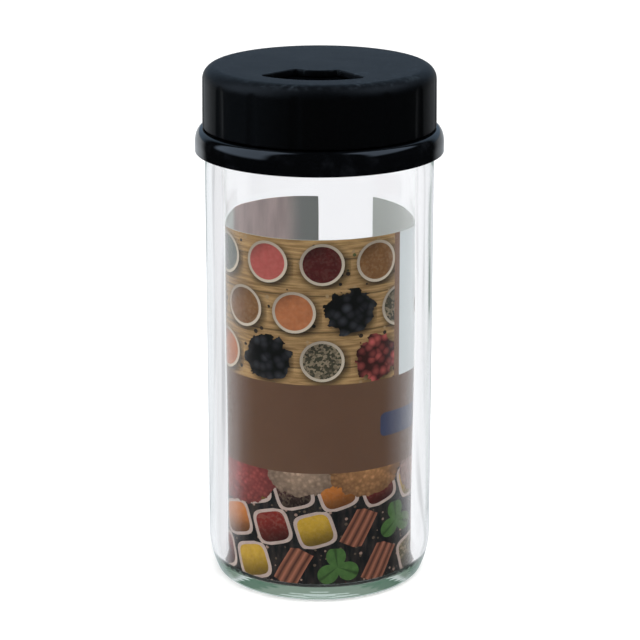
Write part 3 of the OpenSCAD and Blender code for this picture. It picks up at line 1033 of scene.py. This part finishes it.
dialCap = {
    "columns": 768, "top": 1.3 * mm, "wall": 1.4 * mm, "edge": 2.7 * mm, "draft": 0.1 * mm, "corner": 0.8 * mm,
    "bevel": 0.2 * mm, "beadOut": 0.5 * mm, "beadUp": 0.6 * mm, "beadLength": 1 * mm, "openingEdge": 0.25 * mm,
    "openingExtra": 1 * mm, "openingSpread": 78.0, "openingCorner": 0.9 * mm, "aim": -96.0,
}
fingerGrooves = {"Count": 16, "Width": 3.0 * mm, "Depth": 0.22 * mm, "Edge Softness": 0.12 * mm}


def dialOutline():
    d = dialCap
    side = dialHigh.x
    top = dialHigh.z
    under = top - d["top"]
    hem = dialLow.z
    inner = side - d["wall"]
    bead = inner - d["beadOut"]
    beadLow = hem + d["beadUp"]
    beadHigh = beadLow + d["beadLength"]
    flat = side - d["draft"] - d["edge"]
    outline = (
        arc((flat, top - d["edge"]), d["edge"], 90, 0, 16)
        + [(side, hem + d["bevel"]), (side - d["bevel"], hem), (inner, hem), (inner, hem + d["bevel"])]
        + [(bead, beadLow), (bead, beadHigh), (inner, beadHigh + d["beadUp"])]
        + arc((inner - d["corner"], under - d["corner"]), d["corner"], 0, 90, 6)
    )
    return supported(outline, 0.1 * mm), under


def makeDialCap():
    outline, under = dialOutline()
    dial = Form(dialCap["columns"])
    rings = dial.revolve(outline)
    d = dialCap
    extra = d["openingExtra"]
    opening = fanLoop(siftField["inner"] - extra, siftField["outer"] + extra, d["openingSpread"],
                      d["openingCorner"], d["aim"])
    dial.perforate(rings[0], rings[-1], [opening], dialHigh.z, under, d["openingEdge"])
    matt = blackMatt()
    piece = dial.piece("dialCap", matt)
    runShape(piece, fingerGroovesTree(matt), {"Side Radius": dialHigh.x, **fingerGrooves})
    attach(piece, "dial")
    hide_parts("dial_cap")
    print("dial cap made")


# studio

studio = {
    "white": (1.05, 1.02, 1.06), "front": 0.06, "ambient": 0.72, "dark": 0.01, "streaks": 0.7,
    "underJarShadow": 0.5, "overhead": (0.3, 0.34, 0.3), "rightGlow": 0.07, "frontLight": 1.5, "sideLight": 1.2, "leftLight": 0.4,
    "sidePanel": (1.05, 1.3, 1.65), "topPanel": (0.24, 0.33, 0.44), "lowBack": (0.62, 0.66, 0.7),
    "floorSize": 6.0, "floorColour": (0.86, 0.86, 0.86), "floorDrop": 0.05 * mm,
}


def roomShade(board, x, y, far):
    # what clear glass shows of the room: white behind and beside the table, with grey joints, dark in front
    turn = board.angle(y, x)
    behind = y / far
    uneven = board.noise(board.join(turn * 1.3, far * 3.0), 2.0, 1.0).fade(0.4, 0.65)
    share = turn / (math.pi / 2) % 1.0
    aside = abs(share - 0.5)
    joints = aside.fade(0.05, 0.1) * (1.0 - aside.fade(0.14, 0.2)) * uneven
    white = 1.0 + x / far * studio["rightGlow"] - joints * (1 - studio["streaks"])
    inFront = 1.0 - behind.fade(-0.35, 0.2)
    return white + (studio["front"] - white) * inFront


def insideLight(x, y, far):
    # light that reaches the sheet through the glass comes mostly from the sides, and from the left
    return studio["frontLight"] + (y / far).fade(-0.9, 0.0) * studio["sideLight"] - x / far * studio["leftLight"]


def buildWorld():
    world = bpy.data.worlds.new("studioWorld")
    bpy.context.scene.world = world
    world.use_nodes = True
    board = Board(world.node_tree)
    x, y, z = board.split(board.add("ShaderNodeTexCoord", out="Generated"))
    flat = (x * x + y * y).root().most(0.001)
    aside = abs(x) / flat
    behind = y / flat
    lift = (z - x * 0.2).fade(0.22, 0.4)
    side = aside.fade(0.72, 0.86) * (1.0 - behind.fade(0.3, 0.45)) * (1.0 - z.fade(0.93, 0.99)) * lift
    back = behind.fade(0.6, 0.8)
    high = z.fade(0.02, 0.12)
    dark = (studio["dark"],) * 3
    seen = board.mix(back * high * (1.0 - z.fade(0.75, 0.95)), dark, studio["topPanel"])
    seen = board.mix(side, seen, studio["sidePanel"])
    seen = board.mix(back * (1.0 - high), seen, board.shade(studio["lowBack"], 1.0 - x * 0.5))
    beyond = board.mix(z.fade(0.1, 0.35), studio["white"], studio["overhead"])
    beyond = board.shade(beyond, roomShade(board, x, y, flat))
    path = board.add("ShaderNodeLightPath", out="Is Camera Ray")
    colour = board.mix(path.also("Is Glossy Ray"), (studio["ambient"],) * 3, seen)
    colour = board.mix(path.also("Is Transmission Ray"), colour, beyond)
    lit = path.also("Is Transmission Ray") * (path.also("Diffuse Depth") > 0.5)
    inside = insideLight(x, y, flat)
    colour = board.mix(lit, colour, board.join(inside, inside, inside))
    colour = board.mix(path, colour, (1.0, 1.0, 1.0))
    light = board.add("ShaderNodeBackground", None, {"Color": colour, "Strength": 1.0})
    board.add("ShaderNodeOutputWorld", None, {"Surface": light})


def makeFloor():
    material, board = newMaterial("floorWhite")
    x, y, z = board.split(board.add("ShaderNodeTexCoord", out="Object"))
    far = (x * x + y * y).root().most(0.001)
    matt = board.add("ShaderNodeBsdfDiffuse", None, {"Color": studio["floorColour"]})
    path = board.add("ShaderNodeLightPath", out="Is Camera Ray")
    glow = board.add("ShaderNodeEmission", None, {"Color": (1, 1, 1), "Strength": path * 0.3})
    near = board.add("ShaderNodeAddShader", None, {0: matt, 1: glow})
    lit = path.also("Diffuse Depth") > 0.5
    # painted shadow: seen through the glass, the floor is darker close under the jar
    room = roomShade(board, x, y, far) * (studio["underJarShadow"] + far.fade(0.02, 0.036) * (1 - studio["underJarShadow"]))
    strength = room + (insideLight(x, y, far) - room) * lit
    bright = board.add("ShaderNodeEmission", None, {"Color": studio["white"], "Strength": strength})
    both = board.add("ShaderNodeMixShader", None, {0: path.also("Is Transmission Ray"), 1: near, 2: bright})
    board.add("ShaderNodeOutputMaterial", None, {"Surface": both})
    half = studio["floorSize"] / 2
    drop = -studio["floorDrop"]
    corners = [(-half, -half, drop), (half, -half, drop), (half, half, drop), (-half, half, drop)]
    mesh = bpy.data.meshes.new("floor")
    mesh.from_pydata(corners, [], [(0, 1, 2, 3)])
    mesh.materials.append(material)
    floor = bpy.data.objects.new("floor", mesh)
    bpy.context.collection.objects.link(floor)
    floor.visible_glossy = False


def makeLamp(name, place, size, power):
    lamp = bpy.data.lights.new(name, "AREA")
    lamp.shape = "SQUARE"
    lamp.size = size
    lamp.energy = power
    obj = bpy.data.objects.new(name, lamp)
    bpy.context.collection.objects.link(obj)
    obj.location = place
    aim = Vector((0, 0, cadBox[1].z / 2)) - Vector(place)
    obj.rotation_euler = aim.to_track_quat("-Z", "Y").to_euler()
    obj.visible_camera = False
    obj.visible_glossy = False
    obj.visible_transmission = False


camera = {"place": (0.0001, -0.4614, 0.1923), "pitch": 16.88, "lens": 134.8, "sensor": 36.0}


def makeCamera():
    data = bpy.data.cameras.new("camera")
    data.lens = camera["lens"]
    data.sensor_width = camera["sensor"]
    data.clip_start = 0.01
    obj = bpy.data.objects.new("camera", data)
    bpy.context.collection.objects.link(obj)
    obj.location = camera["place"]
    obj.rotation_euler = (math.radians(90 - camera["pitch"]), 0, 0)
    bpy.context.scene.camera = obj


makeGlassJar()
makeInsertSheet()
makeSealRing()
makeSifterCollar()
makeDialCap()
buildWorld()
makeFloor()
makeLamp("overheadLight", (0.1, -0.2, 0.9), 0.7, 6.0)
makeCamera()
bpy.context.scene.view_settings.view_transform = "Standard"
print("studio made")
